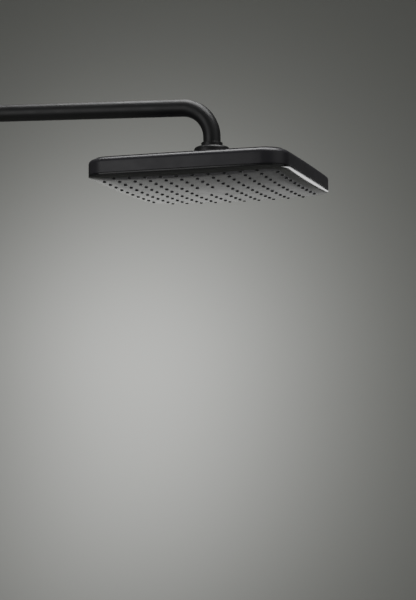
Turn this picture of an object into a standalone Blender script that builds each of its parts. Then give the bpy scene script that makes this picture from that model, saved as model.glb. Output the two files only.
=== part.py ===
"""Overhead rain shower: a soft-square rain head on a curved wall arm, joined by a ball joint.

Origin: centre of the arm's thread where it enters the wall. X runs out from the wall, Z is up.
The wall's face is the plane x = 0. Heights named ..._H are above the spray face's lowest point, its centre.
"""

import math

import bmesh
import bpy
from mathutils import Vector

# Arm
REACH = 0.400
TUBE_R = 0.011
TUBE_BORE_R = 0.0095
ARM_STUB = 0.060
ARM_SLOPE = math.radians(2.3)
SLOPE_BEND_R = 0.300
ARM_BEND_R = 0.040
BEND_H = 0.0689
TUBE_SIDES_RES = 6

# Rain head
HEAD_HALF = 0.1274
HEAD_CORNER_R = 0.030
HEAD_SIDE_BOW = 0.001
WALL_TOP_H = 0.0230
SHOULDER_IN = 0.0080
SHOULDER_UP = 0.0065
CROWN_IN = 0.0088
CROWN_EDGE_H = 0.0308
CROWN_H = 0.0330
COVER_WALL = 0.0020
PARTING_H = 0.0098
RIM_H = 0.0080
RIM_ROLL = 0.0055
RIM_SLOPE = 0.024
ROLL_SHARE = 0.39
BEZEL_INNER = 0.0123
LEDGE_H = 0.0110
DOME = 0.19
PITCH = 0.020
ROW = 12
TIP_R = 0.0018
TIP_TAPER = 0.0001
TIP_DROP = 0.0011
HOLE_R = 0.0028
PLATE_T = 0.0012
MAT_T = 0.0015

# Ball joint
BALL_H = 0.032
BALL_R = 0.012
SEAT_R = 0.0138
SEAT_T = 0.0012
NECK_R = 0.0055
BORE_R = 0.0035
COLLAR_R = 0.0135
COLLAR_TOP_H = 0.0618
COLLAR_LOW_H = 0.0574
NUT_R = 0.0185
THREAD_R = 0.0160

# Wall end
ROSE_R = 0.030
ROSE_DEPTH = 0.012
PIPE_THREAD_R = 0.0104

GAP = 0.0003
TURN_STEPS = 20
ROSE_STEPS = 24
SIDE_STEPS = 3
CORNER_STEPS = 5
TIP_SIDES = 6
HOLE_SIDES = 8
SCREW_STEPS = 8


def clear_scene():
    for obj in list(bpy.data.objects):
        bpy.data.objects.remove(obj, do_unlink=True)


def new_collection(name):
    group = bpy.data.collections.new(name)
    bpy.context.scene.collection.children.link(group)
    return group


def material(name, colour, roughness, metallic):
    made = bpy.data.materials.new(name)
    made.use_nodes = True
    shader = made.node_tree.nodes["Principled BSDF"]
    shader.inputs["Base Color"].default_value = (*colour, 1)
    shader.inputs["Roughness"].default_value = roughness
    shader.inputs["Metallic"].default_value = metallic
    return made


def black_coat(name):
    return material(name, (0.018, 0.018, 0.020), 0.42, 0.6)


def grey_plastic(name):
    return material(name, (0.11, 0.107, 0.118), 0.2, 0.0)


def black_rubber(name):
    return material(name, (0.012, 0.012, 0.013), 0.6, 0.0)


def white_plastic(name):
    return material(name, (0.75, 0.75, 0.72), 0.5, 0.0)


def brass(name):
    return material(name, (0.70, 0.52, 0.26), 0.3, 1.0)


def steel(name):
    return material(name, (0.60, 0.60, 0.61), 0.3, 1.0)


def pivot(name, place):
    """An empty on a joint's axis, which its moving pieces hang from."""
    empty = bpy.data.objects.new(name, None)
    empty.location = place
    PARTS.objects.link(empty)
    return empty


def add(name, mesh, finish, parent=None, place=(0, 0, 0), cutter=False):
    """Link a mesh as a named piece; place is in world metres, whatever the parent is."""
    obj = bpy.data.objects.new(name, mesh)
    obj.location = Vector(place)
    if parent:
        obj.parent = parent
        obj.location = Vector(place) - parent.location
    if cutter:
        obj.hide_render = True
        obj.display_type = "WIRE"
        CUTTERS.objects.link(obj)
        return obj
    PARTS.objects.link(obj)
    mesh.materials.append(finish)
    return obj


def mesh_from(bm, name):
    bmesh.ops.recalc_face_normals(bm, faces=bm.faces)
    mesh = bpy.data.meshes.new(name)
    bm.to_mesh(mesh)
    bm.free()
    return mesh


def turned(name, profile, finish, parent=None, place=(0, 0, 0), steps=TURN_STEPS, tilt=0.0, closed=True):
    """A piece turned about local Z from a profile of (radius, height) that runs down its outer side."""
    mesh = bpy.data.meshes.new(name)
    last = len(profile) - 1
    edges = [(i, i + 1) for i in range(last)] + ([(last, 0)] if closed else [])
    mesh.from_pydata([(r, 0, z) for r, z in profile], edges, [])
    obj = add(name, mesh, finish, parent, place)
    obj.rotation_euler = (0, tilt, 0)
    screw = obj.modifiers.new("turn", "SCREW")
    screw.axis = "Z"
    screw.angle = 2 * math.pi
    screw.steps = steps
    screw.render_steps = steps
    screw.use_merge_vertices = True
    screw.merge_threshold = 0.00001
    screw.use_smooth_shade = True
    return obj


def arc(centre, radius, start_deg, end_deg, count):
    """Points on an arc in the profile's plane; 0 degrees points outwards, 90 up."""
    turn = [math.radians(start_deg + (end_deg - start_deg) * i / count) for i in range(count + 1)]
    return [(centre[0] + radius * math.cos(t), centre[1] + radius * math.sin(t)) for t in turn]


def zone(radius, start_polar, end_polar, count):
    """Points on the ball joint's sphere, by angle down from straight up."""
    return arc((0, BALL_H), radius, 90 - start_polar, 90 - end_polar, count)


def loop_of(radius, height, thick, count=8):
    """The round section of an O-ring."""
    points = arc((radius, height), thick / 2, 90, -270, count)
    return points[:-1]


# ---------------------------------------------------------------- soft-square outlines


def plan():
    """A side's radius, how far its centre is beyond the head's, a corner's centre, and the side's half angle."""
    run = HEAD_HALF - HEAD_CORNER_R
    side_r = (run * run + HEAD_SIDE_BOW**2) / (2 * HEAD_SIDE_BOW)
    back = side_r - HEAD_HALF
    corner = (-back + math.sqrt(2 * (side_r - HEAD_CORNER_R) ** 2 - back * back)) / 2
    return side_r, back, corner, math.atan2(corner, corner + back)


def outline(inset):
    """The head's plan, inset by a distance: four bowed sides joined by round corners."""
    side_r, back, corner, spread = plan()
    points = []
    for quarter in range(4):
        turn = quarter * math.pi / 2
        side = [
            ((side_r - inset) * math.cos(t) - back, (side_r - inset) * math.sin(t))
            for t in (spread * (2 * i / SIDE_STEPS - 1) for i in range(SIDE_STEPS))
        ]
        sweep = math.pi / 2 - 2 * spread
        bend = [
            (corner + (HEAD_CORNER_R - inset) * math.cos(t), corner + (HEAD_CORNER_R - inset) * math.sin(t))
            for t in (spread + sweep * i / CORNER_STEPS for i in range(CORNER_STEPS))
        ]
        points += [
            (x * math.cos(turn) - y * math.sin(turn), x * math.sin(turn) + y * math.cos(turn))
            for x, y in side + bend
        ]
    return points


def dome(x, y):
    """How far the spray face rises away from its centre."""
    return DOME * (x * x + y * y)


def nearest_edge(x, y):
    """How far inside the outline a place is, and the outline's nearest point, in the first eighth of the plan."""
    side_r, back, corner, spread = plan()
    far, near = max(abs(x), abs(y)), min(abs(x), abs(y))
    turn = math.atan2(near, far + back)
    if turn < spread:
        foot = (side_r * math.cos(turn) - back, side_r * math.sin(turn))
        return side_r - math.hypot(far + back, near), foot
    turn = math.atan2(near - corner, far - corner)
    foot = (corner + HEAD_CORNER_R * math.cos(turn), corner + HEAD_CORNER_R * math.sin(turn))
    return HEAD_CORNER_R - math.hypot(far - corner, near - corner), foot


def underside(x, y):
    """The spray face's height: a low dome whose edge slopes up and then rolls up to the rim."""
    inset, foot = nearest_edge(x, y)
    inward = max(0.0, 1 - max(inset, 0.0) / RIM_ROLL)
    roll = 1 - math.sqrt(1 - inward * inward)
    slope = max(0.0, 1 - inset / RIM_SLOPE) ** 1.5
    return dome(x, y) + (RIM_H - dome(*foot)) * (ROLL_SHARE * roll + (1 - ROLL_SHARE) * slope)


def ring(inset, height, scale=1.0, above_face=False):
    """One loop of the head's surface; above_face counts its height from the spray face below it."""
    return [
        (x * scale, y * scale, height + (underside(x, y) if above_face else 0)) for x, y in outline(inset)
    ]


def circle(radius, height):
    """A round ring with a point for each point of the outline, in the same directions."""
    turns = [math.atan2(y, x) for x, y in outline(0)]
    return [(radius * math.cos(t), radius * math.sin(t), height) for t in turns]


def swept(name, rings, finish, parent, closed=True):
    """A surface extruded from ring to ring; closed joins the last to the first, else both ends are capped."""
    bm = bmesh.new()
    verts = [bm.verts.new(p) for p in rings[0]]
    edges = [bm.edges.new((a, b)) for a, b in zip(verts, verts[1:] + verts[:1])]
    first = edges
    for points in rings[1:]:
        grown = bmesh.ops.extrude_edge_only(bm, edges=edges)["geom"]
        edges = [g for g in grown if isinstance(g, bmesh.types.BMEdge)]
        fresh = [g for g in grown if isinstance(g, bmesh.types.BMVert)]
        for vert, point in zip(fresh, points):
            vert.co = point
    if closed:
        bmesh.ops.bridge_loops(bm, edges=first + edges)
    else:
        bmesh.ops.contextual_create(bm, geom=first)
        bmesh.ops.contextual_create(bm, geom=edges)
    bmesh.ops.triangulate(bm, faces=bm.faces)
    mesh = mesh_from(bm, name)
    return add(name, mesh, finish, parent, HEAD_PLACE)


# ---------------------------------------------------------------- Booleans


def cut(obj, cutter, operation="DIFFERENCE"):
    boolean = obj.modifiers.new(operation.lower(), "BOOLEAN")
    boolean.operation = operation
    boolean.object = cutter
    boolean.solver = "EXACT"


def baked(obj):
    """Replace the object's mesh by its evaluated one, and drop the modifiers."""
    graph = bpy.context.evaluated_depsgraph_get()
    obj.data = bpy.data.meshes.new_from_object(obj.evaluated_get(graph))
    obj.modifiers.clear()


def cones(name, sides, *groups):
    """One cutter or set of pegs on the head: upright cones, each group as (places, radii, heights)."""
    bm = bmesh.new()
    for places, (low_r, high_r), (low, high) in groups:
        for x, y in places:
            made = bmesh.ops.create_cone(
                bm, cap_ends=True, segments=sides, radius1=low_r, radius2=high_r, depth=high - low
            )
            bmesh.ops.translate(bm, verts=made["verts"], vec=(x, y, (low + high) / 2))
    return add(name, mesh_from(bm, name), None, None, HEAD_PLACE, cutter=True)


# ---------------------------------------------------------------- arm and wall end


def arm_points():
    """The arm's centre line, from the wall to the end of its vertical leg, and the last bend's centre height."""
    points = [(GAP, 0), (ARM_STUB, 0)]
    for i in range(1, 3):
        t = ARM_SLOPE * i / 2
        points.append((ARM_STUB + SLOPE_BEND_R * math.sin(t), -SLOPE_BEND_R * (1 - math.cos(t))))
    bend_x = REACH - ARM_BEND_R
    start_x = bend_x + ARM_BEND_R * math.sin(ARM_SLOPE)
    start_z = points[-1][1] - (start_x - points[-1][0]) * math.tan(ARM_SLOPE)
    bend_z = start_z - ARM_BEND_R * math.cos(ARM_SLOPE)
    steps = 9
    for i in range(steps + 1):
        t = (math.pi / 2 - ARM_SLOPE) * (1 - i / steps)
        points.append((bend_x + ARM_BEND_R * math.cos(t), bend_z + ARM_BEND_R * math.sin(t)))
    return points, bend_z


def tube_mesh(name, points, radius, finish, cutter=False):
    """A round bar along a polyline in the XZ plane, made a mesh with its caps welded on."""
    curve = bpy.data.curves.new(name, "CURVE")
    curve.dimensions = "3D"
    curve.bevel_depth = radius
    curve.bevel_resolution = TUBE_SIDES_RES
    curve.use_fill_caps = True
    spline = curve.splines.new("POLY")
    spline.points.add(len(points) - 1)
    for point, (x, z) in zip(spline.points, points):
        point.co = (x, 0, z, 1)
    guide = bpy.data.objects.new(name + "_guide", curve)
    PARTS.objects.link(guide)
    graph = bpy.context.evaluated_depsgraph_get()
    mesh = bpy.data.meshes.new_from_object(guide.evaluated_get(graph))
    bpy.data.objects.remove(guide, do_unlink=True)
    bm = bmesh.new()
    bm.from_mesh(mesh)
    bmesh.ops.remove_doubles(bm, verts=bm.verts, dist=0.000001)
    bpy.data.meshes.remove(mesh)
    return add(name, mesh_from(bm, name), finish, cutter=cutter)


def make_arm(points, end_z):
    path = points + [(REACH, end_z)]
    tube = tube_mesh("arm_tube", path, TUBE_R, black_coat("arm_black"))
    overrun = 0.010
    hollow = [(-overrun, 0)] + path[1:-1] + [(REACH, end_z - overrun)]
    cut(tube, tube_mesh("arm_bore_cutter", hollow, TUBE_BORE_R, None, cutter=True))


def make_wall_connector():
    thread_end, spigot_end = -0.018, 0.020
    inner, spigot_r = 0.0065, TUBE_BORE_R - 2 * GAP
    profile = [
        (spigot_r, spigot_end), (spigot_r, 0), (PIPE_THREAD_R, 0),
        (PIPE_THREAD_R, thread_end + 0.001), (PIPE_THREAD_R - 0.001, thread_end),
        (inner, thread_end), (inner, spigot_end),
    ]
    turned("wall_connector", profile, brass("wall_connector_brass"), tilt=math.pi / 2)


def make_rose():
    slide = pivot("rose_slide", (0, 0, 0))
    bore, lip, groove = TUBE_R + 0.0004, 0.0145, 0.0140
    profile = [(lip, ROSE_DEPTH), (0.024, 0.0085)]
    profile += arc((0.0255, 0.0040), 0.0045, 60, 0, 3)
    profile += [
        (ROSE_R, 0), (0.022, 0), (0.020, 0.0060), (groove + 0.0006, 0.0060), (groove + 0.0006, 0.0050),
        (bore, 0.0050), (bore, 0.0064), (groove, 0.0064), (groove, 0.0096), (bore, 0.0096), (bore, ROSE_DEPTH),
    ]
    turned("wall_rose", profile, black_coat("rose_black"), slide, steps=ROSE_STEPS, tilt=math.pi / 2)
    seal = loop_of(0.01265, 0.0080, 0.0023)
    turned("rose_seal", seal, black_rubber("rose_seal_rubber"), slide, tilt=math.pi / 2)


# ---------------------------------------------------------------- outlet and ball joint


def make_outlet():
    low, inner = 0.0509, 0.0065
    spigot_r, top = TUBE_BORE_R - 2 * GAP, BEND_H - 0.0006
    thread_r = PIPE_THREAD_R - GAP
    profile = [
        (spigot_r, top), (spigot_r, COLLAR_TOP_H), (thread_r, COLLAR_TOP_H),
        (thread_r, low + 0.001), (thread_r - 0.001, low), (inner, low), (inner, top),
    ]
    turned("outlet_nipple", profile, brass("outlet_nipple_brass"), place=HEAD_PLACE)
    orifice, limiter_r = 0.0022, inner - GAP
    limiter = [(limiter_r, 0.0590), (limiter_r, 0.0545), (orifice, 0.0545), (orifice, 0.0590)]
    turned("flow_limiter", limiter, white_plastic("limiter_plastic"), place=HEAD_PLACE)
    washer_low = 0.0486 + GAP
    washer = [(thread_r, low - GAP), (thread_r, washer_low), (0.0045, washer_low), (0.0045, low - GAP)]
    turned("filter_washer", washer, black_rubber("filter_washer_rubber"), place=HEAD_PLACE)


def make_ball_connector():
    socket_r, floor_h, socket_low = 0.0120, 0.0486, 0.0460
    thread_bore = PIPE_THREAD_R + GAP
    edge = 0.0007
    flat = 0.011
    neck_polar = math.degrees(math.asin(NECK_R / BALL_R))
    flat_polar = 90 + math.degrees(math.asin(flat / BALL_R))
    profile = [
        (COLLAR_R - edge, COLLAR_TOP_H), (COLLAR_R, COLLAR_TOP_H - edge), (COLLAR_R, COLLAR_LOW_H + edge),
        (COLLAR_R - edge, COLLAR_LOW_H), (socket_r, COLLAR_LOW_H), (socket_r, socket_low), (NECK_R, socket_low),
    ]
    profile += zone(BALL_R, neck_polar, flat_polar, 10)
    profile += [
        (BORE_R, BALL_H - flat), (BORE_R, floor_h), (thread_bore, floor_h), (thread_bore, COLLAR_TOP_H),
    ]
    turned("ball_connector", profile, black_coat("ball_connector_black"), place=HEAD_PLACE)


def make_joint_cap():
    bore, rim_r, wall, low = 0.0123, 0.0225, 0.0013, 0.0440
    top = COLLAR_LOW_H - 2 * GAP
    profile = [(bore, top), (0.0165, top - 0.0004)]
    profile += arc((rim_r - 0.0042, top - 0.0048), 0.0042, 75, 0, 4)
    profile += [(rim_r, low), (rim_r - wall, low)]
    profile += arc((rim_r - 0.0042, top - 0.0048), 0.0042 - wall, 0, 75, 3)
    profile += [(0.0160, top - wall - 0.0004), (bore, top - wall)]
    turned("joint_cap", profile, black_coat("joint_cap_black"), place=HEAD_PLACE, steps=ROSE_STEPS)


def make_ball_seats(upper, lower):
    for name, parent, start, end in (
        ("upper_ball_seat", upper, 52, 72),
        ("lower_ball_seat", lower, 90, 120),
    ):
        outer, inner = SEAT_R - GAP, SEAT_R - GAP - SEAT_T
        profile = zone(outer, start, end, 4) + zone(inner, end, start, 4)
        turned(name, profile, white_plastic(name + "_plastic"), parent, HEAD_PLACE)


def make_ball_nut(head):
    top, low, split = BALL_H + 0.0090, BALL_H - 0.0050, BALL_H + GAP
    hole_polar = math.degrees(math.acos((top - BALL_H) / SEAT_R))
    inner_polar = math.degrees(math.acos(GAP / SEAT_R))
    thread = THREAD_R + GAP
    profile = [
        (NUT_R - 0.004, BALL_H + 0.0072), (NUT_R, BALL_H + 0.0050), (NUT_R, low), (thread, low), (thread, split),
    ]
    profile += zone(SEAT_R, inner_polar, hole_polar, 6)
    turned("ball_nut", profile, black_coat("ball_nut_black"), head, HEAD_PLACE)


def make_ball_socket(head):
    """The threaded cup that the ball sits in, on a flange screwed to the water chamber."""
    pocket_end, seal_r, seal_low = 0.0083, 0.0111, 0.0122
    flange_r, flange_top, flange_low = 0.0260, 0.0241, 0.0211
    spigot_r, spigot_low, inlet_r = 0.0125, 0.0165, 0.0060
    end_polar = 90 + math.degrees(math.asin(pocket_end / SEAT_R))
    profile = [
        (THREAD_R, BALL_H), (THREAD_R, flange_top), (flange_r, flange_top), (flange_r, flange_low),
        (spigot_r, flange_low), (spigot_r, spigot_low), (inlet_r, spigot_low), (inlet_r, BALL_H - seal_low),
        (seal_r, BALL_H - seal_low),
    ]
    profile += zone(SEAT_R, end_polar, 90, 6)
    socket = turned("ball_socket", profile, brass("ball_socket_brass"), head, HEAD_PLACE)
    low, high = flange_low - 0.002, flange_top + 0.002
    cut(socket, cones("socket_hole_cutter", HOLE_SIDES, (INLET_SCREWS, (0.0018, 0.0018), (low, high))))
    seal = loop_of(0.00923, BALL_H - 0.01026, 0.0030)
    turned("ball_seal", seal, black_rubber("ball_seal_rubber"), head, HEAD_PLACE)
    gasket = [(0.0180, 0.0208), (0.0180, 0.0193), (0.0135, 0.0193), (0.0135, 0.0208)]
    turned("socket_gasket", gasket, black_rubber("socket_gasket_rubber"), head, HEAD_PLACE)


# ---------------------------------------------------------------- rain head


def shoulder(inset, height, inward, upward):
    """Loops of a quarter-oval edge, from its upright side to its flat top."""
    turns = [math.radians(t) for t in (0, 22, 45, 68, 90)]
    return [ring(inset + inward * (1 - math.cos(t)), height + upward * math.sin(t)) for t in turns]


def make_top_cover(head):
    """The shell and its side band, with a crown that stands one small step above the shoulder."""
    finish = black_coat("cover_black")
    hole_r, inner_centre = 0.0192, CROWN_H - COVER_WALL
    mid_scale, mid_drop, near_scale, near_drop = 0.66, 0.0011, 0.33, 0.0003
    step_in, inner_step = CROWN_IN - 0.0005, 0.0105
    rings = [ring(0, PARTING_H)] + shoulder(0, WALL_TOP_H, SHOULDER_IN, SHOULDER_UP)
    rings += [ring(step_in, WALL_TOP_H + SHOULDER_UP), ring(CROWN_IN, CROWN_EDGE_H)]
    rings += [ring(CROWN_IN, CROWN_H - mid_drop, mid_scale), ring(CROWN_IN, CROWN_H - near_drop, near_scale)]
    rings += [circle(hole_r, CROWN_H), circle(hole_r, inner_centre)]
    rings += [
        ring(CROWN_IN, inner_centre - near_drop, near_scale),
        ring(CROWN_IN, inner_centre - mid_drop, mid_scale),
        ring(inner_step, CROWN_EDGE_H - COVER_WALL),
    ]
    rings += shoulder(COVER_WALL, WALL_TOP_H, SHOULDER_IN - COVER_WALL, SHOULDER_UP - COVER_WALL)[::-1]
    rings += [ring(COVER_WALL, PARTING_H)]
    swept("top_cover", rings, finish, head)


def make_bezel(head):
    """The rim ring: a thin upright strip, a groove, and the roll that runs into the spray face."""
    finish = black_coat("bezel_black")
    top = PARTING_H - GAP
    groove_top, groove_deep, edge = RIM_H + 0.0004, 0.0006, 0.0002
    spigot_out, spigot_in, spigot_top = COVER_WALL + 0.0004, 0.0050, 0.0150
    rings = [
        ring(edge, top), ring(0, top - edge), ring(0, groove_top + edge), ring(groove_deep, groove_top),
        ring(groove_deep, RIM_H + edge),
    ]
    insets = (0, 0.0004, 0.0014, 0.0030, RIM_ROLL, 0.0090, BEZEL_INNER)
    rings += [ring(inset, 0, above_face=True) for inset in insets]
    rings += [
        ring(BEZEL_INNER, LEDGE_H), ring(spigot_in, LEDGE_H), ring(spigot_in, spigot_top),
        ring(spigot_out, spigot_top), ring(spigot_out, top),
    ]
    bezel = swept("bezel_ring", rings, finish, head)
    blind = 0.0072
    cut(bezel, cones("bezel_hole_cutter", HOLE_SIDES, (CHAMBER_SCREWS, (0.0013, 0.0013), (blind, 0.0130))))


def nozzle_places():
    """A square grid without its four corners and without the four places around the centre."""
    last = ROW - 1
    places = []
    for i in range(ROW):
        for j in range(ROW):
            corner = i in (0, last) and j in (0, last)
            centre = i in (ROW // 2 - 1, ROW // 2) and j in (ROW // 2 - 1, ROW // 2)
            if not corner and not centre:
                places.append(((i - last / 2) * PITCH, (j - last / 2) * PITCH))
    return places


def sheet_blank(name, low, thick, inset, finish, head):
    """A flat sheet in nozzle-sized squares, trimmed to the head's outline."""
    bm = bmesh.new()
    bmesh.ops.create_grid(bm, x_segments=ROW, y_segments=ROW, size=ROW * PITCH / 2)
    grown = bmesh.ops.extrude_face_region(bm, geom=bm.faces[:])["geom"]
    bmesh.ops.translate(bm, verts=[g for g in grown if isinstance(g, bmesh.types.BMVert)], vec=(0, 0, thick))
    bmesh.ops.translate(bm, verts=bm.verts, vec=(0, 0, low))
    sheet = add(name, mesh_from(bm, name), finish, head, HEAD_PLACE)
    margin = 0.005
    trim = swept(name + "_trim", [ring(inset, low - margin), ring(inset, low + thick + margin)], None, head, False)
    PARTS.objects.unlink(trim)
    CUTTERS.objects.link(trim)
    trim.hide_render = True
    trim.display_type = "WIRE"
    cut(sheet, trim, "INTERSECT")
    return sheet


def curve_sheet(obj):
    """Bake the cut sheet and raise each point by the spray face's curve."""
    baked(obj)
    for vert in obj.data.vertices:
        vert.co.z += underside(vert.co.x, vert.co.y)


def make_spray_face(head):
    places = nozzle_places()
    inset = BEZEL_INNER + GAP
    plate = sheet_blank("face_plate", 0, PLATE_T, inset, grey_plastic("face_grey"), head)
    overrun = 0.002
    cut(plate, cones("plate_hole_cutter", TIP_SIDES, (places, (HOLE_R, HOLE_R), (-overrun, PLATE_T + overrun))))
    curve_sheet(plate)
    mat_h = PLATE_T + GAP
    mat = sheet_blank("nozzle_mat", mat_h, MAT_T, inset + 0.0009, black_rubber("nozzle_silicone"), head)
    radii, heights = (TIP_R - TIP_TAPER, TIP_R + TIP_TAPER), (-TIP_DROP, mat_h + MAT_T / 2)
    cut(mat, cones("nozzle_tip_pegs", TIP_SIDES, (places, radii, heights)), "UNION")
    curve_sheet(mat)


def make_chamber(head):
    """The tray that closes the water space above the nozzle mat, its gasket and its screws."""
    flange_low, flange_top, roof_h, roof_t = LEDGE_H + GAP, 0.0133, 0.0180, 0.0020
    outer, hole_r = 0.0056, 0.0130
    rings = [
        ring(outer, flange_low), ring(outer, flange_top), ring(0.0145, flange_top), ring(0.0165, roof_h),
        ring(0.0165, roof_h + 0.0005, 0.5), circle(hole_r, 0.0190), circle(hole_r, 0.0190 - roof_t),
        ring(0.0190, roof_h + 0.0005 - roof_t, 0.5), ring(0.0190, roof_h - roof_t), ring(0.0175, flange_low),
    ]
    tray = swept("water_chamber", rings, white_plastic("chamber_plastic"), head)
    edge_holes = (CHAMBER_SCREWS, (0.0018, 0.0018), (flange_low - 0.0015, flange_top + 0.0015))
    inlet_holes = (INLET_SCREWS, (0.0016, 0.0016), (roof_h - 0.0035, roof_h + 0.0025))
    cut(tray, cones("chamber_hole_cutter", HOLE_SIDES, edge_holes, inlet_holes))
    seal_low = PLATE_T + MAT_T + 2 * GAP
    seal = [
        ring(0.0136, seal_low, above_face=True), ring(0.0136, LEDGE_H), ring(0.0172, LEDGE_H),
        ring(0.0172, seal_low, above_face=True),
    ]
    swept("chamber_gasket", seal, black_rubber("chamber_gasket_rubber"), head)


def screws(stem, places, seat, head_r, head_t, shank_r, length, head):
    """Pan-head screws standing on their seat, one object each."""
    top, tip = seat + head_t, seat - length
    profile = [
        (0, top), (head_r * 0.7, top), (head_r, top - head_t * 0.45), (head_r, seat), (shank_r, seat),
        (shank_r, tip + shank_r), (0, tip),
    ]
    finish = steel(stem + "_steel")
    for number, (x, y) in enumerate(places, 1):
        place = Vector(HEAD_PLACE) + Vector((x, y, 0))
        turned(f"{stem}_{number}", profile, finish, head, place, SCREW_STEPS, closed=False)


def make_screws(head):
    screws("inlet_screw", INLET_SCREWS, 0.0244, 0.0026, 0.0020, 0.0013, 0.0085, head)
    screws("chamber_screw", CHAMBER_SCREWS, 0.0136, 0.0024, 0.0018, 0.0010, 0.0060, head)


def around(radius, count, first_deg):
    """Places evenly round a circle."""
    turns = [math.radians(first_deg + 360 * i / count) for i in range(count)]
    return [(radius * math.cos(t), radius * math.sin(t)) for t in turns]


def main():
    upper = pivot("upper_seat_pivot", BALL_PLACE)
    lower = pivot("lower_seat_pivot", BALL_PLACE)
    head = pivot("head_pivot", BALL_PLACE)
    make_wall_connector()
    make_rose()
    make_arm(ARM_POINTS, HEAD_PLACE[2] + COLLAR_TOP_H + GAP)
    make_outlet()
    make_ball_connector()
    make_joint_cap()
    make_ball_seats(upper, lower)
    make_ball_nut(head)
    make_ball_socket(head)
    make_top_cover(head)
    make_bezel(head)
    make_spray_face(head)
    make_chamber(head)
    make_screws(head)


clear_scene()
PARTS = new_collection("overhead_shower")
CUTTERS = new_collection("cutters")
ARM_POINTS, BEND_Z = arm_points()
HEAD_PLACE = (REACH, 0, BEND_Z - BEND_H)
BALL_PLACE = (REACH, 0, HEAD_PLACE[2] + BALL_H)
INLET_SCREWS = around(0.0220, 4, 45)
EDGE_SCREW = HEAD_HALF - 0.0085
CORNER_SCREW = EDGE_SCREW - 0.0078
CHAMBER_SCREWS = around(EDGE_SCREW, 4, 0) + around(CORNER_SCREW * math.sqrt(2), 4, 45)
main()
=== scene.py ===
"""Looks of the overhead rain shower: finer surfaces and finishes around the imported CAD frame.

Metres, in the CAD's own frame: x = 0 is the wall, X runs out along the arm, Z is up.
"""

import math

import bmesh
import bpy
from mathutils import Matrix, Vector


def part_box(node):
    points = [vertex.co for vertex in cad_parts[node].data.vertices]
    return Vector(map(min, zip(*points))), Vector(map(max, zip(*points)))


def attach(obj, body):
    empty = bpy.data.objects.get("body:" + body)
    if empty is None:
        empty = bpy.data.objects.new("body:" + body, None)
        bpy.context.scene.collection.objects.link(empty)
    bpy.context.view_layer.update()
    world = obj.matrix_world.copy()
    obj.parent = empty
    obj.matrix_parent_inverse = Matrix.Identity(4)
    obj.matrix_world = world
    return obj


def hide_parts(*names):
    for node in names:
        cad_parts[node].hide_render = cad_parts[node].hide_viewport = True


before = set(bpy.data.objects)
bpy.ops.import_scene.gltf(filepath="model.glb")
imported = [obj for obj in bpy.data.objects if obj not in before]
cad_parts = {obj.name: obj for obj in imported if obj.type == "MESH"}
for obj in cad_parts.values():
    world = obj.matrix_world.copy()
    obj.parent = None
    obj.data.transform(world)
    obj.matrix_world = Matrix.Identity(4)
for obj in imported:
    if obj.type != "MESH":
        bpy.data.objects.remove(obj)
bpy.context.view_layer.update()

# ---------------------------------------------------------------- places read from the frame

COVER_LOW, COVER_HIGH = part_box("top_cover")
BEZEL_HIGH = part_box("bezel_ring")[1]
ARM_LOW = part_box("arm_tube")[0]
CONNECTOR_LOW, CONNECTOR_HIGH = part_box("ball_connector")
CAP_LOW, CAP_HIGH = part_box("joint_cap")
NUT_LOW, NUT_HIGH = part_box("ball_nut")
ROSE_LOW, ROSE_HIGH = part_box("wall_rose")
THREAD_LOW, THREAD_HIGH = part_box("wall_connector")

HEAD_X = (COVER_LOW[0] + COVER_HIGH[0]) / 2
HEAD_HALF = (COVER_HIGH[0] - COVER_LOW[0]) / 2
PARTING_H = 0.0098
FACE_Z = COVER_LOW[2] - PARTING_H

# ---------------------------------------------------------------- sizes that the boxes don't give

HEAD_CORNER_R = 0.030
HEAD_SIDE_BOW = 0.001
WALL_TOP_H = 0.0230
SHOULDER_IN = 0.0080
SHOULDER_UP = 0.0065
CROWN_IN = 0.0088
CROWN_EDGE_H = 0.0308
COVER_WALL = 0.0020
COVER_HOLE_R = 0.0192
RIM_H = 0.0080
RIM_ROLL = 0.0055
RIM_SLOPE = 0.024
ROLL_SHARE = 0.39  # the part of the edge's rise that the round roll makes
BEZEL_INNER = 0.0124
PLATE_INSET = 0.0125
MAT_INSET = 0.0137
PLATE_T = 0.0012
MAT_T = 0.0015
DOME = 0.19  # the spray face rises by this times the squared distance from its centre
PITCH = 0.020
ROW = 12
HOLE_R = 0.0027
TIP_R = 0.0020
TIP_DROP = 0.00108
COLLAR_LOW_H = 0.0574
TUBE_R = 0.011
TUBE_BORE_R = 0.0095
ARM_STUB = 0.060
ARM_SLOPE = math.radians(2.3)
SLOPE_BEND_R = 0.300
ARM_BEND_R = 0.040
GAP = 0.0003
BALL_H = 0.032  # heights are above the spray face's centre
BALL_R = 0.012
NECK_R = 0.0055
CAP_DOME_R = 0.0165
TURN_STEPS = 72
SHARP_DEG = 35

FLOOR_COLOUR = (0.40, 0.405, 0.385)
FLOOR_ROUGHNESS = 0.9
WORLD_COLOUR = (0.50, 0.51, 0.49)
WORLD_STRENGTH = 0.26


# ---------------------------------------------------------------- profiles and outlines


def rounded(corners, steps=5):
    """A closed profile from (radius, height, fillet) corners, each turned into an arc."""
    points = []
    count = len(corners)
    for i, (r, z, fillet) in enumerate(corners):
        here = Vector((r, z))
        if not fillet:
            points.append((r, z))
            continue
        before = Vector(corners[i - 1][:2]) - here
        after = Vector(corners[(i + 1) % count][:2]) - here
        before.normalize()
        after.normalize()
        half = before.angle(after) / 2
        reach = fillet / math.tan(half)
        start, end = here + before * reach, here + after * reach
        centre = here + (before + after).normalized() * (fillet / math.sin(half))
        first, last = start - centre, end - centre
        sweep = first.angle_signed(last)
        for step in range(steps + 1):
            spot = centre + Matrix.Rotation(-sweep * step / steps, 2) @ first
            points.append((spot.x, spot.y))
    return points


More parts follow.
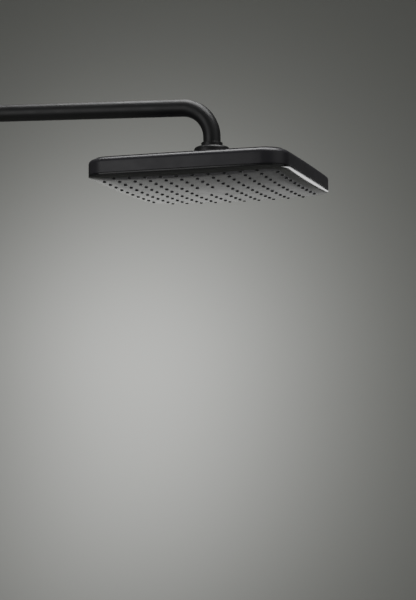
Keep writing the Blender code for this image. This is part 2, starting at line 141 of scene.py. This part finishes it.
def plan():
    """The outline's arcs.

    Gives a side's radius, how far its centre is beyond the head's, a corner's centre and a side's
    half angle.
    """
    run = HEAD_HALF - HEAD_CORNER_R
    side_r = (run * run + HEAD_SIDE_BOW**2) / (2 * HEAD_SIDE_BOW)
    back = side_r - HEAD_HALF
    corner = (-back + math.sqrt(2 * (side_r - HEAD_CORNER_R) ** 2 - back * back)) / 2
    return side_r, back, corner, math.atan2(corner, corner + back)


def outline(inset, side_steps=24, corner_steps=14):
    """The head's plan, inset by a distance: four bowed sides joined by round corners."""
    side_r, back, corner, half_angle = plan()
    sweep = math.pi / 2 - 2 * half_angle
    side, reach = side_r - inset, HEAD_CORNER_R - inset
    points = []
    for quarter in range(4):
        turn = Matrix.Rotation(quarter * math.pi / 2, 2)
        for i in range(side_steps):
            t = half_angle * (2 * i / side_steps - 1)
            points.append(turn @ Vector((side * math.cos(t) - back, side * math.sin(t))))
        for i in range(corner_steps):
            t = half_angle + sweep * i / corner_steps
            spot = Vector((corner + reach * math.cos(t), corner + reach * math.sin(t)))
            points.append(turn @ spot)
    return points


def dome(x, y):
    """Height of the domed spray face above its centre."""
    return DOME * (x * x + y * y)


def nearest_edge(x, y):
    """How far inside the outline a place is, and the nearest outline point, in one eighth of the plan."""
    side_r, back, corner, half_angle = plan()
    far, near = max(abs(x), abs(y)), min(abs(x), abs(y))
    turn = math.atan2(near, far + back)
    if turn < half_angle:
        foot = (side_r * math.cos(turn) - back, side_r * math.sin(turn))
        return side_r - math.hypot(far + back, near), foot
    turn = math.atan2(near - corner, far - corner)
    foot = (corner + HEAD_CORNER_R * math.cos(turn), corner + HEAD_CORNER_R * math.sin(turn))
    return HEAD_CORNER_R - math.hypot(far - corner, near - corner), foot


def underside(x, y):
    """The spray face's height: a low dome whose edge slopes up and then rolls up to the rim."""
    inset, foot = nearest_edge(x, y)
    inward = max(0.0, 1 - max(inset, 0.0) / RIM_ROLL)
    roll = 1 - math.sqrt(1 - inward * inward)
    slope = max(0.0, 1 - inset / RIM_SLOPE) ** 1.5
    return dome(x, y) + (RIM_H - dome(*foot)) * (ROLL_SHARE * roll + (1 - ROLL_SHARE) * slope)


def ring(inset, height, scale=1.0):
    """One ring of the head's surface; height is above the spray face's centre."""
    return [(HEAD_X + p.x * scale, p.y * scale, FACE_Z + height) for p in outline(inset)]


def face_ring(inset):
    """One ring of the curved underside."""
    return [(HEAD_X + p.x, p.y, FACE_Z + underside(p.x, p.y)) for p in outline(inset)]


def quarter_turn(steps):
    """Angles from 0 to a right angle."""
    return [math.radians(90 * i / steps) for i in range(steps + 1)]


def shoulder(inset, height, inward, upward, steps):
    """Rings of a quarter-oval edge, from its upright side to its flat top."""
    turns = quarter_turn(steps)
    return [ring(inset + inward * (1 - math.cos(t)), height + upward * math.sin(t)) for t in turns]


def circle(radius, height):
    """A round ring on the head with a point for each point of the outline."""
    turns = [math.atan2(p.y, p.x) for p in outline(0)]
    return [(HEAD_X + radius * math.cos(t), radius * math.sin(t), FACE_Z + height) for t in turns]


# ---------------------------------------------------------------- meshes


def mesh_of(bm, name, sharp_deg=SHARP_DEG):
    """A smooth-shaded mesh with sharp edges where faces meet steeply."""
    bmesh.ops.recalc_face_normals(bm, faces=bm.faces)
    mesh = bpy.data.meshes.new(name)
    bm.to_mesh(mesh)
    bm.free()
    mesh.shade_smooth()
    mesh.set_sharp_from_angle(angle=math.radians(sharp_deg))
    return mesh


def loft(bm, rings, closed=True):
    """Quads between rings of the same count; closed joins the last ring to the first."""
    made = [[bm.verts.new(p) for p in points] for points in rings]
    pairs = list(zip(made, made[1:] + made[:1])) if closed else list(zip(made, made[1:]))
    for a, b in pairs:
        for i in range(len(a)):
            j = (i + 1) % len(a)
            bm.faces.new((a[i], a[j], b[j], b[i]))
    return made


def turned_rings(profile, origin, along, steps=TURN_STEPS):
    """Rings of a profile of (radius, distance along the axis), about 'X' or 'Z' through origin."""
    rings = []
    for r, d in profile:
        spots = []
        for i in range(steps):
            t = 2 * math.pi * i / steps
            a, b = r * math.cos(t), r * math.sin(t)
            offset = (d, a, b) if along == "X" else (a, b, d)
            spots.append(tuple(o + s for o, s in zip(origin, offset)))
        rings.append(spots)
    return rings


def piece(name, mesh, finish, body, slot, *replaced):
    """Put a mesh in the scene: its finish, the body it rides and the nodes it stands for; slot is not used.
    """
    obj = bpy.data.objects.new(name, mesh)
    bpy.context.scene.collection.objects.link(obj)
    mesh.materials.append(finish)
    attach(obj, body)
    if replaced:
        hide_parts(*replaced)


def turned(name, profile, origin, along, finish, body, slot, *replaced):
    """A piece of revolution from a closed profile."""
    bm = bmesh.new()
    loft(bm, turned_rings(profile, origin, along))
    piece(name, mesh_of(bm, name), finish, body, slot, *replaced)


# ---------------------------------------------------------------- finishes


def finish_nodes(name, colour, roughness, metallic=0.0, coat=0.0, coat_roughness=0.1):
    """A Principled material; returns it with its node tree and shader for the detail nodes."""
    made = bpy.data.materials.new(name)
    made.use_nodes = True
    tree = made.node_tree
    shader = tree.nodes["Principled BSDF"]
    shader.inputs["Base Color"].default_value = (*colour, 1)
    shader.inputs["Roughness"].default_value = roughness
    shader.inputs["Metallic"].default_value = metallic
    shader.inputs["Coat Weight"].default_value = coat
    shader.inputs["Coat Roughness"].default_value = coat_roughness
    return made, tree, shader


def noise(tree, scale, detail=4.0, stretch=(1, 1, 1)):
    """Noise in object coordinates, in cycles per metre."""
    place = tree.nodes.new("ShaderNodeTexCoord")
    mapping = tree.nodes.new("ShaderNodeMapping")
    mapping.inputs["Scale"].default_value = stretch
    texture = tree.nodes.new("ShaderNodeTexNoise")
    texture.inputs["Scale"].default_value = scale
    texture.inputs["Detail"].default_value = detail
    tree.links.new(place.outputs["Object"], mapping.inputs["Vector"])
    tree.links.new(mapping.outputs["Vector"], texture.inputs["Vector"])
    return texture.outputs["Fac"]


def spread(tree, fac, low, high):
    """Map a noise value to a range."""
    node = tree.nodes.new("ShaderNodeMapRange")
    node.inputs["From Min"].default_value = 0.3
    node.inputs["From Max"].default_value = 0.7
    node.inputs["To Min"].default_value = low
    node.inputs["To Max"].default_value = high
    tree.links.new(fac, node.inputs["Value"])
    return node.outputs["Result"]


def vary_colour(tree, shader, fac, dark, light):
    """Let noise move the base colour between two close shades."""
    ramp = tree.nodes.new("ShaderNodeValToRGB")
    ramp.color_ramp.elements[0].position = 0.35
    ramp.color_ramp.elements[1].position = 0.65
    ramp.color_ramp.elements[0].color = (*dark, 1)
    ramp.color_ramp.elements[1].color = (*light, 1)
    tree.links.new(fac, ramp.inputs["Fac"])
    tree.links.new(ramp.outputs["Color"], shader.inputs["Base Color"])


def bump(tree, shader, height, distance, strength):
    """Fine relief in the shading only; distance is in metres."""
    node = tree.nodes.new("ShaderNodeBump")
    node.inputs["Strength"].default_value = strength
    node.inputs["Distance"].default_value = distance
    tree.links.new(height, node.inputs["Height"])
    tree.links.new(node.outputs["Normal"], shader.inputs["Normal"])


def coated_metal(name, colour, roughness):
    """Matte powder coat: fine orange peel, faint clouding and handling marks in the gloss."""
    made, tree, shader = finish_nodes(name, colour, roughness)
    light = tuple(c * 1.25 for c in colour)
    vary_colour(tree, shader, noise(tree, 35), colour, light)
    vary_gloss(tree, shader, noise(tree, 60, 6), roughness - 0.05, roughness + 0.05)
    bump(tree, shader, noise(tree, 2600, 2), 0.00003, 0.6)
    return made


def moulded(name, colour, roughness, grain=1800, depth=0.00003, coat=0.0, coat_roughness=0.1):
    """Moulded plastic: a fine tool texture with slow changes of gloss."""
    made, tree, shader = finish_nodes(name, colour, roughness, 0.0, coat, coat_roughness)
    light = tuple(min(1.0, c * 1.12) for c in colour)
    vary_colour(tree, shader, noise(tree, 25), colour, light)
    vary_gloss(tree, shader, noise(tree, 80, 5), roughness - 0.04, roughness + 0.04)
    bump(tree, shader, noise(tree, grain, 2), depth, 0.5)
    return made


def vary_gloss(tree, shader, fac, low, high):
    """Let noise move the roughness between two values."""
    tree.links.new(spread(tree, fac, low, high), shader.inputs["Roughness"])


def silicone(name, colour):
    """Soft rubber with a light bloom."""
    made, tree, shader = finish_nodes(name, colour, 0.5)
    shader.inputs["Sheen Weight"].default_value = 0.15
    vary_colour(tree, shader, noise(tree, 90), colour, tuple(c * 1.5 for c in colour))
    vary_gloss(tree, shader, noise(tree, 300), 0.42, 0.58)
    bump(tree, shader, noise(tree, 3000, 2), 0.00002, 0.5)
    return made


def machined(name, colour, roughness):
    """Turned metal: fine tool rings, drawn out along the surface."""
    made, tree, shader = finish_nodes(name, colour, roughness, 1.0)
    vary_colour(tree, shader, noise(tree, 40), tuple(c * 0.82 for c in colour), colour)
    vary_gloss(tree, shader, noise(tree, 120, 6), roughness - 0.06, roughness + 0.08)
    bump(tree, shader, noise(tree, 900, 3, (1, 1, 6)), 0.00002, 0.4)
    return made


ARM_BLACK = coated_metal("arm_black_coat", (0.016, 0.016, 0.017), 0.42)
JOINT_BLACK = coated_metal("joint_black_coat", (0.015, 0.015, 0.016), 0.40)
COVER_BLACK = coated_metal("cover_anthracite_coat", (0.030, 0.028, 0.034), 0.36)
BEZEL_BLACK = moulded("rim_gloss_black", (0.016, 0.016, 0.018), 0.16, 900, 0.00001, 0.12, 0.08)
FACE_GREY = moulded("face_gloss_grey", (0.092, 0.087, 0.104), 0.17, 900, 0.00001, 0.10, 0.08)
TIP_BLACK = silicone("nozzle_black_silicone", (0.010, 0.010, 0.011))
RUBBER = silicone("seal_black_rubber", (0.014, 0.014, 0.014))
WHITE = moulded("natural_white_plastic", (0.70, 0.70, 0.66), 0.45)
BRASS = machined("turned_brass", (0.78, 0.58, 0.28), 0.28)
STEEL = machined("screw_steel", (0.62, 0.62, 0.63), 0.30)


# ---------------------------------------------------------------- rain head


def crown_rings(edge_h, centre_h, steps=10):
    """Rings of the low crown, from its edge to near its middle hole."""
    inward = 0.82
    scales = [1 - inward * i / steps for i in range(1, steps)]
    return [ring(CROWN_IN, edge_h + (centre_h - edge_h) * (1 - s * s), s) for s in scales]


def make_cover():
    """The shell: its side band, a wide soft shoulder, and a crown one small step above it."""
    crown = COVER_HIGH[2] - FACE_Z
    edge, hole_edge, step_low = 0.0003, 0.0004, WALL_TOP_H + SHOULDER_UP
    wall_low, wall_steps = PARTING_H + edge, 6
    rings = [ring(edge, PARTING_H), ring(edge * 0.3, PARTING_H + edge * 0.3)]
    rings += [ring(0, wall_low + (WALL_TOP_H - wall_low) * i / wall_steps) for i in range(wall_steps)]
    rings += shoulder(0, WALL_TOP_H, SHOULDER_IN, SHOULDER_UP, 16)
    rings += [ring(CROWN_IN - 0.0004, step_low), ring(CROWN_IN - 0.0003, step_low + 0.0001)]
    rings += [ring(CROWN_IN - 0.0003, CROWN_EDGE_H - 0.0003)]
    rings += [ring(CROWN_IN - 0.0002, CROWN_EDGE_H - 0.0001)]
    rings += [ring(CROWN_IN, CROWN_EDGE_H)] + crown_rings(CROWN_EDGE_H, crown)
    rings += [circle(COVER_HOLE_R + hole_edge, crown), circle(COVER_HOLE_R, crown - hole_edge)]
    rings += [circle(COVER_HOLE_R, crown - COVER_WALL)]
    rings += crown_rings(CROWN_EDGE_H - COVER_WALL, crown - COVER_WALL)[::-1]
    inside = shoulder(COVER_WALL, WALL_TOP_H, SHOULDER_IN - COVER_WALL, SHOULDER_UP - COVER_WALL, 8)
    rings += [ring(CROWN_IN, CROWN_EDGE_H - COVER_WALL)] + inside[::-1] + [ring(COVER_WALL, PARTING_H)]
    bm = bmesh.new()
    loft(bm, rings)
    mesh = mesh_of(bm, "top_cover_shell")
    piece("top_cover_shell", mesh, COVER_BLACK, "head", "black_cover", "top_cover")


def make_bezel():
    """The rim ring: a thin upright strip, a groove, and the glossy roll into the spray face."""
    top, spigot_top = PARTING_H - GAP, BEZEL_HIGH[2] - FACE_Z
    groove_top, groove_deep, edge = RIM_H + 0.0004, 0.0005, 0.0002
    ledge_h, spigot_out, spigot_in = 0.0110, 0.0024, 0.0050
    roll_steps, slope_steps = 14, 7
    rings = [ring(edge, top), ring(0, top - edge)]
    rings += [ring(0, groove_top + edge / 2), ring(edge / 2, groove_top)]
    rings += [ring(groove_deep, groove_top), ring(groove_deep, RIM_H)]
    insets = [RIM_ROLL * (1 - math.cos(t)) for t in quarter_turn(roll_steps)]
    slope_run = BEZEL_INNER - RIM_ROLL
    insets += [RIM_ROLL + slope_run * i / slope_steps for i in range(1, slope_steps + 1)]
    rings += [face_ring(inset) for inset in insets]
    rings += [ring(BEZEL_INNER, ledge_h), ring(spigot_in, ledge_h), ring(spigot_in, spigot_top)]
    rings += [ring(spigot_out, spigot_top), ring(spigot_out, top)]
    bm = bmesh.new()
    loft(bm, rings)
    mesh = mesh_of(bm, "bezel_roll")
    piece("bezel_roll", mesh, BEZEL_BLACK, "head", "black_bezel", "bezel_ring")


def nozzle_places():
    """The square grid of nozzles, less the four corner and the four middle places."""
    last, middle = ROW - 1, (ROW // 2 - 1, ROW // 2)
    places = []
    for i in range(ROW):
        for j in range(ROW):
            corner = i in (0, last) and j in (0, last)
            centre = i in middle and j in middle
            if not corner and not centre:
                places.append(((i - last / 2) * PITCH, (j - last / 2) * PITCH))
    return places


def cylinders(bm, places, radius, low, high, sides):
    """An upright cylinder at each place, as one cutter."""
    for x, y in places:
        made = bmesh.ops.create_cone(
            bm, cap_ends=True, segments=sides, radius1=radius, radius2=radius, depth=high - low
        )
        bmesh.ops.translate(bm, verts=made["verts"], vec=(x, y, (low + high) / 2))


def boolean(obj, other, operation):
    """Cut obj by a mesh and keep the result as its own mesh."""
    modifier = obj.modifiers.new("cut", "BOOLEAN")
    modifier.operation = operation
    modifier.object = other
    graph = bpy.context.evaluated_depsgraph_get()
    cut = bpy.data.meshes.new_from_object(obj.evaluated_get(graph))
    obj.modifiers.clear()
    obj.data = cut
    bpy.data.objects.remove(other, do_unlink=True)


def helper(bm, name):
    """A plain object that a Boolean works on."""
    bmesh.ops.recalc_face_normals(bm, faces=bm.faces)
    mesh = bpy.data.meshes.new(name)
    bm.to_mesh(mesh)
    bm.free()
    obj = bpy.data.objects.new(name, mesh)
    bpy.context.scene.collection.objects.link(obj)
    return obj


def sheet_blank(name, low, thick, inset, cells):
    """A flat sheet in small squares, trimmed to the head's outline, about its own centre."""
    bm = bmesh.new()
    bmesh.ops.create_grid(bm, x_segments=cells, y_segments=cells, size=ROW * PITCH / 2)
    grown = bmesh.ops.extrude_face_region(bm, geom=bm.faces[:])["geom"]
    raised = [g for g in grown if isinstance(g, bmesh.types.BMVert)]
    bmesh.ops.translate(bm, verts=raised, vec=(0, 0, thick))
    bmesh.ops.translate(bm, verts=bm.verts, vec=(0, 0, low))
    sheet = helper(bm, name)
    bm = bmesh.new()
    margin = 0.004
    levels = (low - margin, low + thick + margin)
    walls = loft(bm, [[(p.x, p.y, z) for p in outline(inset)] for z in levels], False)
    for edge in walls:
        bm.faces.new(edge)
    boolean(sheet, helper(bm, name + "_trim"), "INTERSECT")
    return sheet


def settle(obj):
    """Raise a flat sheet to the spray face's curve and put it on the head."""
    for vert in obj.data.vertices:
        x, y, z = vert.co
        vert.co = (x + HEAD_X, y, z + underside(x, y) + FACE_Z)
    obj.data.shade_smooth()
    obj.data.set_sharp_from_angle(angle=math.radians(SHARP_DEG))


def make_face():
    """The glossy grey plate with a round hole for each nozzle."""
    places = nozzle_places()
    plate = sheet_blank("spray_face", 0, PLATE_T, PLATE_INSET, ROW * 4)
    overrun, hole_sides = 0.002, 20
    bm = bmesh.new()
    cylinders(bm, places, HOLE_R, -overrun, PLATE_T + overrun, hole_sides)
    boolean(plate, helper(bm, "holes"), "DIFFERENCE")
    settle(plate)
    plate.data.materials.clear()
    plate.data.materials.append(FACE_GREY)
    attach(plate, "head")
    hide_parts("face_plate")


def tip_rings(x, y):
    """One rubber nozzle: a foot in its hole, a short round end below the plate, and its water hole."""
    foot_r, foot_top = HOLE_R - 0.0002, PLATE_T + GAP + 0.0003
    jet_r, jet_top, end_r = 0.0005, 0.0012, 0.0004
    profile = [
        (foot_r, foot_top), (foot_r, 0.0004), (TIP_R + 0.0002, 0.0001), (TIP_R, -0.0001),
        (TIP_R, end_r - TIP_DROP), (TIP_R - end_r * 0.3, end_r * 0.3 - TIP_DROP),
        (TIP_R - end_r, -TIP_DROP),
        (jet_r + 0.0002, -TIP_DROP), (jet_r, 0.0002 - TIP_DROP), (jet_r, jet_top), (jet_r * 0.3, jet_top),
    ]
    origin = (x + HEAD_X, y, underside(x, y) + FACE_Z)
    sides = 16
    return turned_rings(profile, origin, "Z", sides)


def make_nozzles():
    """The silicone mat and all its nozzles, as one piece that shows through the plate."""
    tip_sharp_deg = 50
    mat = sheet_blank("nozzle_mat_and_tips", PLATE_T + GAP, MAT_T, MAT_INSET, ROW * 2)
    settle(mat)
    bm = bmesh.new()
    bm.from_mesh(mat.data)
    for x, y in nozzle_places():
        made = loft(bm, tip_rings(x, y), False)
        bm.faces.new(made[0])
        bm.faces.new(made[-1])
    old = mat.data
    mat.data = mesh_of(bm, "nozzle_mat_and_tips_mesh", tip_sharp_deg)
    bpy.data.meshes.remove(old)
    mat.data.materials.append(TIP_BLACK)
    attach(mat, "head")
    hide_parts("nozzle_mat")


# ---------------------------------------------------------------- arm, joint and wall end


def arm_line():
    """The arm's centre line in X and Z, with its direction at each point."""
    points = [(ARM_LOW[0], 0.0, 0.0)]
    points += [(ARM_STUB * i / 4, 0.0, 0.0) for i in range(1, 5)]
    for i in range(1, 5):
        t = ARM_SLOPE * i / 4
        points.append((ARM_STUB + SLOPE_BEND_R * math.sin(t), -SLOPE_BEND_R * (1 - math.cos(t)), t))
    x, z, t = points[-1]
    bend_x = HEAD_X - ARM_BEND_R
    start_x = bend_x + ARM_BEND_R * math.sin(ARM_SLOPE)
    start_z = z - (start_x - x) * math.tan(ARM_SLOPE)
    bend_z = start_z - ARM_BEND_R * math.cos(ARM_SLOPE)
    points += [(x + (start_x - x) * i / 8, z + (start_z - z) * i / 8, t) for i in range(1, 8)]
    steps = 28
    for i in range(steps + 1):
        t = ARM_SLOPE + (math.pi / 2 - ARM_SLOPE) * i / steps
        points.append((bend_x + ARM_BEND_R * math.sin(t), bend_z + ARM_BEND_R * math.cos(t), t))
    points.append((HEAD_X, ARM_LOW[2], math.pi / 2))
    return points


def tube_rings(radius, points, steps=48):
    """Round rings square to the arm's centre line."""
    rings = []
    for x, z, t in points:
        spots = []
        for i in range(steps):
            a = 2 * math.pi * i / steps
            lift = radius * math.cos(a)
            spots.append((x + lift * math.sin(t), radius * math.sin(a), z + lift * math.cos(t)))
        rings.append(spots)
    return rings


def make_arm():
    """The bent tube, with its bore."""
    line = arm_line()
    bm = bmesh.new()
    loft(bm, tube_rings(TUBE_R, line) + tube_rings(TUBE_BORE_R, line[::-1]))
    mesh = mesh_of(bm, "arm_tube_smooth")
    piece("arm_tube_smooth", mesh, ARM_BLACK, "arm", "black_coated_metal", "arm_tube")


def turned_on_joint(name, profile, body, replaced):
    """A black piece of the ball joint, turned about the vertical through the ball."""
    origin = (HEAD_X, 0, FACE_Z)
    turned(name, profile, origin, "Z", JOINT_BLACK, body, "black_coated_metal", replaced)


def make_connector():
    """The collar under the arm, its socket, the neck and the ball, all one turned piece."""
    top, low = CONNECTOR_HIGH[2] - FACE_Z, CONNECTOR_LOW[2] - FACE_Z
    collar_r = (CONNECTOR_HIGH[0] - CONNECTOR_LOW[0]) / 2
    bore_r, thread_r, socket_r = 0.0035, 0.0107, 0.0120
    floor, socket_low, ball_steps = 0.0486, 0.0460, 24
    profile = rounded([
        (thread_r, top, 0.0002), (collar_r, top, 0.0004), (collar_r, COLLAR_LOW_H, 0.0003),
        (socket_r, COLLAR_LOW_H, 0), (socket_r, socket_low, 0.0006), (NECK_R, socket_low, 0.0008),
    ])
    start = math.pi / 2 - math.asin(NECK_R / BALL_R)
    end = math.asin((low - BALL_H) / BALL_R)
    for i in range(ball_steps + 1):
        t = start + (end - start) * i / ball_steps
        profile.append((BALL_R * math.cos(t), BALL_H + BALL_R * math.sin(t)))
    profile += [(bore_r, low), (bore_r, floor), (thread_r, floor)]
    turned_on_joint("ball_and_collar", profile, "arm", "ball_connector")


def make_cap():
    """The low domed cap over the ball joint."""
    rim_r = (CAP_HIGH[0] - CAP_LOW[0]) / 2
    top, low, bore, wall = CAP_HIGH[2] - FACE_Z, CAP_LOW[2] - FACE_Z, 0.0123, 0.0013
    profile = rounded([
        (bore, top, 0.0002), (CAP_DOME_R, top, 0.006), (rim_r, top - 0.0012, 0.0040),
        (rim_r, low, 0.0004), (rim_r - wall, low, 0.0004), (rim_r - wall, top - 0.0024, 0.0028),
        (CAP_DOME_R, top - wall, 0.004), (bore, top - wall, 0.0002),
    ])
    turned_on_joint("joint_cap_dome", profile, "arm", "joint_cap")


def make_nut():
    """The nut under the cap, with a round hollow for the upper ball seat."""
    nut_r = (NUT_HIGH[0] - NUT_LOW[0]) / 2
    top, low = NUT_HIGH[2] - FACE_Z, NUT_LOW[2] - FACE_Z
    seat_r, thread_r, seat_steps = 0.0138, 0.0163, 16
    profile = rounded([
        (nut_r - 0.0040, BALL_H + 0.0072, 0.0008), (nut_r, BALL_H + 0.0050, 0.0010), (nut_r, low, 0.0005),
        (thread_r, low, 0.0003), (thread_r, BALL_H + GAP, 0),
    ])
    first = math.asin(GAP / seat_r)
    last = math.asin((top - BALL_H) / seat_r)
    for i in range(seat_steps + 1):
        t = first + (last - first) * i / seat_steps
        profile.append((seat_r * math.cos(t), BALL_H + seat_r * math.sin(t)))
    turned_on_joint("ball_nut_turned", profile, "head", "ball_nut")


def make_rose():
    """The domed rose, hollow at the wall, with a groove for its seal."""
    rose_r, deep = (ROSE_HIGH[1] - ROSE_LOW[1]) / 2, ROSE_HIGH[0]
    bore, groove, groove_near, groove_far, hollow = 0.0114, 0.0140, 0.0064, 0.0096, 0.0060
    lip_r = groove + 0.0006
    profile = rounded([
        (bore, deep, 0.0003), (0.0145, deep, 0.0008), (0.0240, 0.0086, 0.006), (rose_r, 0.0070, 0.0040),
        (rose_r, 0, 0.0003), (0.0220, 0, 0.0003), (0.0200, hollow, 0.0008), (lip_r, hollow, 0),
        (lip_r, 0.0050, 0), (bore, 0.0050, 0), (bore, groove_near, 0), (groove, groove_near, 0),
        (groove, groove_far, 0), (bore, groove_far, 0),
    ])
    wall = (0, 0, 0)
    turned("wall_rose_dome", profile, wall, "X", ARM_BLACK, "rose", "black_coated_metal", "wall_rose")


def make_pipe_thread():
    """The male pipe thread: a vee groove that winds along the spigot, and the plain end in the arm."""
    crest, depth, lead = (THREAD_HIGH[1] - THREAD_LOW[1]) / 2, 0.0011, 0.001814
    wall_end, arm_end, bore, spigot = THREAD_LOW[0], THREAD_HIGH[0], 0.0065, 0.0089
    steps, per_turn = 60, 8
    count = int(-wall_end / lead * per_turn)
    rows = []
    for k in range(count + 1):
        x = wall_end * k / count
        fade = min(1.0, k / per_turn, (count - k) / (per_turn * 0.5))
        spots = []
        for i in range(steps):
            t = 2 * math.pi * i / steps
            phase = (x / lead + i / steps) % 1.0
            r = crest - depth * fade * (1 - abs(2 * phase - 1))
            spots.append((x, r * math.cos(t), r * math.sin(t)))
        rows.append(spots)
    wall, end = (0, 0, 0), [(crest - depth, wall_end), (bore, wall_end), (bore, arm_end)]
    rings = turned_rings([(spigot, arm_end), (spigot, 0.0)], wall, "X", steps) + rows
    rings += turned_rings(end, wall, "X", steps)
    bm = bmesh.new()
    loft(bm, rings)
    piece("pipe_thread", mesh_of(bm, "pipe_thread"), BRASS, "arm", "brass", "wall_connector")


def dress_frame():
    """Finishes for the CAD nodes that stay: the inner parts of the head, the joint and the arm."""
    finishes = {
        "rose_seal": RUBBER, "outlet_nipple": BRASS, "flow_limiter": WHITE, "filter_washer": RUBBER,
        "upper_ball_seat": WHITE, "lower_ball_seat": WHITE, "ball_seal": RUBBER, "ball_socket": BRASS,
        "socket_gasket": RUBBER, "water_chamber": WHITE, "chamber_gasket": RUBBER,
    }
    for name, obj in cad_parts.items():
        finish = STEEL if "screw" in name else finishes.get(name)
        if finish:
            obj.data.materials.clear()
            obj.data.materials.append(finish)


# ---------------------------------------------------------------- floor, light and camera


def make_stage():
    """A pale floor that curves up into a back wall, so that no edge shows, and soft light all round."""
    floor_z, bend_y, bend_r, wall_top, half = -2.1, 4.6, 1.9, 8.0, 20.0
    line = [(-half, floor_z)]
    for t in quarter_turn(24):
        line.append((bend_y + bend_r * math.sin(t), floor_z + bend_r * (1 - math.cos(t))))
    line += [(bend_y + bend_r, wall_top)]
    bm = bmesh.new()
    rows = [(bm.verts.new((-half, y, z)), bm.verts.new((half, y, z))) for y, z in line]
    for a, b in zip(rows, rows[1:]):
        bm.faces.new((a[0], a[1], b[1], b[0]))
    mesh = bpy.data.meshes.new("studio_floor")
    bm.to_mesh(mesh)
    bm.free()
    mesh.shade_smooth()
    mesh.materials.append(finish_nodes("pale_floor", FLOOR_COLOUR, FLOOR_ROUGHNESS)[0])
    sweep = bpy.data.objects.new("studio_floor", mesh)
    bpy.context.scene.collection.objects.link(sweep)
    world = bpy.data.worlds.new("studio")
    bpy.context.scene.world = world
    world.use_nodes = True
    background = world.node_tree.nodes["Background"]
    background.inputs["Color"].default_value = (*WORLD_COLOUR, 1)
    background.inputs["Strength"].default_value = WORLD_STRENGTH


def area_light(name, place, aim, size, power):
    """A soft box that lights and is mirrored, but is not itself seen."""
    lamp = bpy.data.lights.new(name, "AREA")
    lamp.shape = "RECTANGLE"
    lamp.size, lamp.size_y = size
    lamp.energy = power
    obj = bpy.data.objects.new(name, lamp)
    obj.location = place
    obj.rotation_euler = (Vector(aim) - Vector(place)).to_track_quat("-Z", "Y").to_euler()
    obj.visible_camera = False
    bpy.context.scene.collection.objects.link(obj)


def make_lights():
    """Soft boxes above, in front and at the right, two behind for the rim and face, one on the back wall."""
    head = (HEAD_X, 0, FACE_Z + 0.02)
    area_light("above", (HEAD_X + 0.10, 0.2, 1.3), head, (1.9, 1.0), 26)
    area_light("rim_box", (HEAD_X + 0.55, 2.1, FACE_Z - 0.78), head, (1.1, 1.30), 16)
    area_light("face_box", (HEAD_X - 0.70, 2.1, FACE_Z - 0.28), head, (1.25, 0.31), 0.24)
    area_light("front", (-1.0, -2.3, -0.1), head, (1.8, 2.0), 13)
    area_light("right_fill", (2.6, -0.6, 0.2), head, (2.0, 2.0), 4)
    area_light("backdrop", (-2.07, 5.25, -0.05), (-2.07, 6.5, -0.05), (0.5, 0.5), 24)


def make_camera():
    """A long lens from just below the head, turned towards its outer side."""
    azimuth, pitch, roll = math.radians(17.589), math.radians(4.814), math.radians(-0.34)
    lens_mm, film_mm = 94.31, 36.0
    camera = bpy.data.cameras.new("camera")
    camera.lens = lens_mm
    camera.sensor_width = film_mm
    obj = bpy.data.objects.new("camera", camera)
    turn = Matrix.Rotation(azimuth, 4, "Z") @ Matrix.Rotation(math.pi / 2 + pitch, 4, "X")
    turn = turn @ Matrix.Rotation(roll, 4, "Z")
    place = Vector((HEAD_X + 0.5865, -1.8705, FACE_Z - 0.3023))
    obj.matrix_world = Matrix.Translation(place) @ turn
    bpy.context.scene.collection.objects.link(obj)
    bpy.context.scene.camera = obj


make_camera()
make_stage()
make_lights()
make_cover()
make_bezel()
make_face()
make_nozzles()
make_arm()
make_connector()
make_cap()
make_nut()
make_rose()
make_pipe_thread()
dress_frame()
